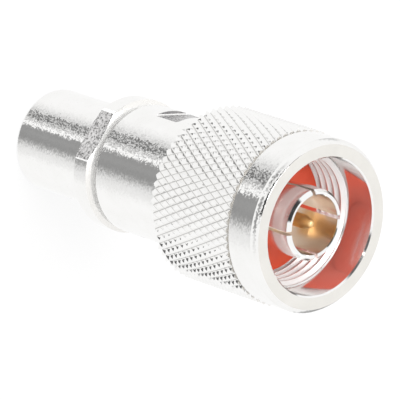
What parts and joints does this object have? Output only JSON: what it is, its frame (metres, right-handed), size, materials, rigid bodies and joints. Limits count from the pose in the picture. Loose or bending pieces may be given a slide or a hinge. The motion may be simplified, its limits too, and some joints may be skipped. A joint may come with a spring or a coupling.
{
  "type": "n type plug connector",
  "caption": "Coaxial cable plug: knurled coupling nut turning on a round body, slotted outer contact, centre pin, red front gasket, screwed clamp nut with tail.",
  "frame": {"origin": "on the axis, at the rear face of the clamp nut's tail, where the cable enters", "axes": "+Z along the connector's axis towards the mating end; +Y is the normal of one of the body's two wrench flats"},
  "size_m": [0.0208, 0.0208, 0.0468],
  "materials": {
    "silver_plate": "bright silver plating",
    "contact_silver": "polished silver plating",
    "gold_plate": "gold plating",
    "red_silicone": "satin silicone",
    "ptfe": "turned PTFE",
    "spring_bronze": "bare spring bronze",
    "plain_brass": "turned brass",
    "black_rubber": "moulded rubber"
  },
  "bodies": {
    "shell": {"body": "silver_plate", "outer_contact": "contact_silver", "contact_pin": "gold_plate", "front_gasket": "red_silicone", "front_insulator": "ptfe", "rear_insulator": "ptfe", "snap_ring": "spring_bronze"},
    "coupling": {"coupling_nut": "silver_plate"},
    "clamp_stack": {"thrust_washer": "plain_brass", "cable_gasket": "black_rubber", "braid_clamp": "plain_brass"},
    "clamp": {"clamp_nut": "silver_plate"}
  },
  "joints": [
    {"name": "coupling_spin", "type": "hinge", "parent": "shell", "child": "coupling", "pos_m": [0, 0, 0.038], "axis": [0, 0, 1], "continuous": true},
    {"name": "clamp_travel", "type": "slide", "parent": "shell", "child": "clamp_stack", "axis": [0, 0, 1], "range_m": [-0.00402, 0.00102]},
    {"name": "clamp_turn", "type": "hinge", "parent": "clamp_stack", "child": "clamp", "pos_m": [0, 0, 0.01], "axis": [0, 0, 1], "range_deg": [-1440, 360]}
  ],
  "couplings": [
    {"joint": "clamp_travel", "follows": "clamp_turn", "m_per_rad": 0.00015915}
  ]
}
